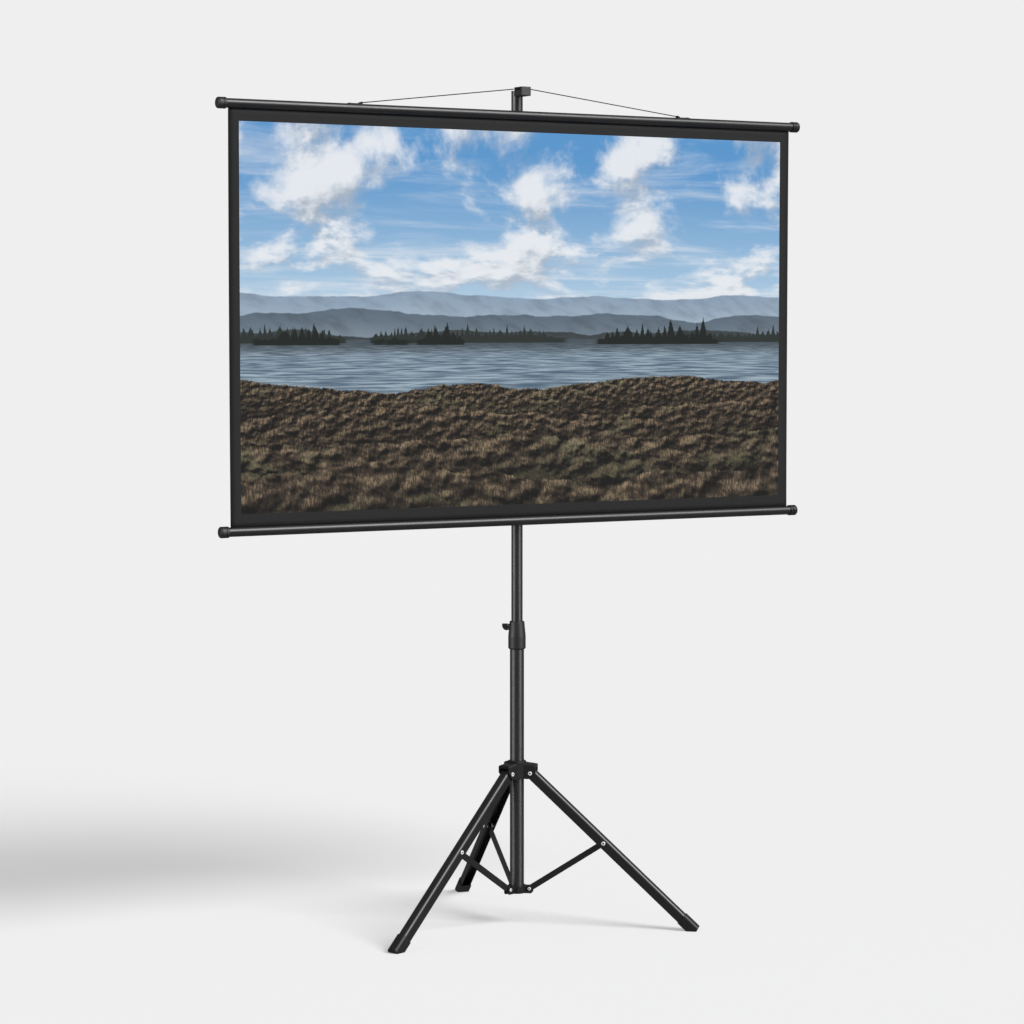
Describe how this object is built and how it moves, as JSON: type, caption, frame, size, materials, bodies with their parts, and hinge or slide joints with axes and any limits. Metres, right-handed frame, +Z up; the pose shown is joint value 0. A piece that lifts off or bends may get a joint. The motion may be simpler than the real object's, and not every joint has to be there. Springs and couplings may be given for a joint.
{
  "type": "tripod projection screen",
  "caption": "Fabric projection screen between two slotted bars, hung by a cord from a hook on a telescoping mast that stands on a folding tripod.",
  "frame": {"origin": "on the floor, on the mast's axis", "axes": "+Z up, +X along the screen to the viewer's right, -Y towards the audience"},
  "size_m": [1.405, 0.651, 1.772],
  "materials": {
    "black_coated_steel": "satin black powder coat",
    "black_moulded_plastic": "black moulded plastic with a fine grain",
    "plated_steel": "bright plated steel",
    "pale_plastic": "natural moulded nylon",
    "ferrule_aluminium": "crimped bare aluminium",
    "screen_cloth": "coated screen cloth, matt, with a black border and a printed scene",
    "cord_braid": "grey braided cord"
  },
  "bodies": {
    "base": {"mast_lower_tube": "black_coated_steel", "strut_hub": "black_moulded_plastic", "strut_hub_rivets": "plated_steel", "height_collar": "black_moulded_plastic", "clamp_pad": "pale_plastic"},
    "hub": {"leg_hub": "black_moulded_plastic", "hub_rivets": "plated_steel"},
    "leg_left": {"leg_channel_left": "black_coated_steel", "foot_shoe_left": "black_moulded_plastic", "leg_rivet_left": "plated_steel", "strut_spacers_left": "pale_plastic"},
    "strut_left_link": {"strut_left": "black_coated_steel"},
    "leg_right": {"leg_channel_right": "black_coated_steel", "foot_shoe_right": "black_moulded_plastic", "leg_rivet_right": "plated_steel", "strut_spacers_right": "pale_plastic"},
    "strut_right_link": {"strut_right": "black_coated_steel"},
    "leg_back": {"leg_channel_back": "black_coated_steel", "foot_shoe_back": "black_moulded_plastic", "leg_rivet_back": "plated_steel", "strut_spacers_back": "pale_plastic"},
    "strut_back_link": {"strut_back": "black_coated_steel"},
    "mast_guide": {"mast_guide_bush": "black_moulded_plastic"},
    "mast": {"mast_upper_tube": "black_coated_steel", "hook_block": "black_moulded_plastic", "hook_screw": "plated_steel"},
    "screen": {"top_bar": "black_coated_steel", "bottom_bar": "black_coated_steel", "top_edge_spline": "pale_plastic", "bottom_edge_spline": "pale_plastic", "top_cap_left": "black_moulded_plastic", "top_cap_right": "black_moulded_plastic", "bottom_cap_left": "black_moulded_plastic", "bottom_cap_right": "black_moulded_plastic", "screen_fabric": "screen_cloth", "cord_clip_left": "black_coated_steel", "cord_clip_right": "black_coated_steel", "clip_rivets": "plated_steel", "hanging_cord": "cord_braid", "cord_ferrules": "ferrule_aluminium"},
    "lock": {"lock_knob": "black_moulded_plastic", "clamp_stud": "plated_steel"}
  },
  "joints": [
    {"name": "hub_slide", "type": "slide", "parent": "base", "child": "hub", "axis": [0, 0, 1], "range_m": [0, 0.15562]},
    {"name": "leg_hinge_left", "type": "hinge", "parent": "hub", "child": "leg_left", "pos_m": [-0.02935, -0.00999, 0.3262], "axis": [0.3223, -0.9466, 0], "range_deg": [0, 47.3]},
    {"name": "strut_hinge_left", "type": "hinge", "parent": "leg_left", "child": "strut_left_link", "pos_m": [-0.17792, -0.06057, 0.18087], "axis": [0.3223, -0.9466, 0], "range_deg": [-103.6, 0]},
    {"name": "leg_hinge_right", "type": "hinge", "parent": "hub", "child": "leg_right", "pos_m": [0.02332, -0.02042, 0.3262], "axis": [0.6587, 0.7524, 0], "range_deg": [0, 47.3]},
    {"name": "strut_hinge_right", "type": "hinge", "parent": "leg_right", "child": "strut_right_link", "pos_m": [0.14141, -0.1238, 0.18087], "axis": [0.6587, 0.7524, 0], "range_deg": [-103.6, 0]},
    {"name": "leg_hinge_back", "type": "hinge", "parent": "hub", "child": "leg_back", "pos_m": [0.00602, 0.03041, 0.3262], "axis": [-0.981, 0.1942, 0], "range_deg": [0, 47.3]},
    {"name": "strut_hinge_back", "type": "hinge", "parent": "leg_back", "child": "strut_back_link", "pos_m": [0.03651, 0.18437, 0.18087], "axis": [-0.981, 0.1942, 0], "range_deg": [-103.6, 0]},
    {"name": "mast_height", "type": "slide", "parent": "base", "child": "mast_guide", "axis": [0, 0, 1], "range_m": [-0.195, 0.18]},
    {"name": "mast_turn", "type": "hinge", "parent": "mast_guide", "child": "mast", "pos_m": [0, 0, 0.315], "axis": [0, 0, 1], "continuous": true},
    {"name": "screen_swing", "type": "hinge", "parent": "mast", "child": "screen", "pos_m": [0, -0.03, 1.7687], "axis": [-1, 0, 0], "range_deg": [0, 15]},
    {"name": "lock_turn", "type": "hinge", "parent": "base", "child": "lock", "pos_m": [-0.02165, 0.0125, 0.6367], "axis": [-0.866, 0.5, 0], "range_deg": [0, 270]}
  ],
  "couplings": [
    {"joint": "leg_hinge_left", "follows": "hub_slide", "rad_per_m": 5.2938},
    {"joint": "strut_hinge_left", "follows": "hub_slide", "rad_per_m": -11.6},
    {"joint": "leg_hinge_right", "follows": "hub_slide", "rad_per_m": 5.2938},
    {"joint": "strut_hinge_right", "follows": "hub_slide", "rad_per_m": -11.6},
    {"joint": "leg_hinge_back", "follows": "hub_slide", "rad_per_m": 5.2938},
    {"joint": "strut_hinge_back", "follows": "hub_slide", "rad_per_m": -11.6}
  ]
}
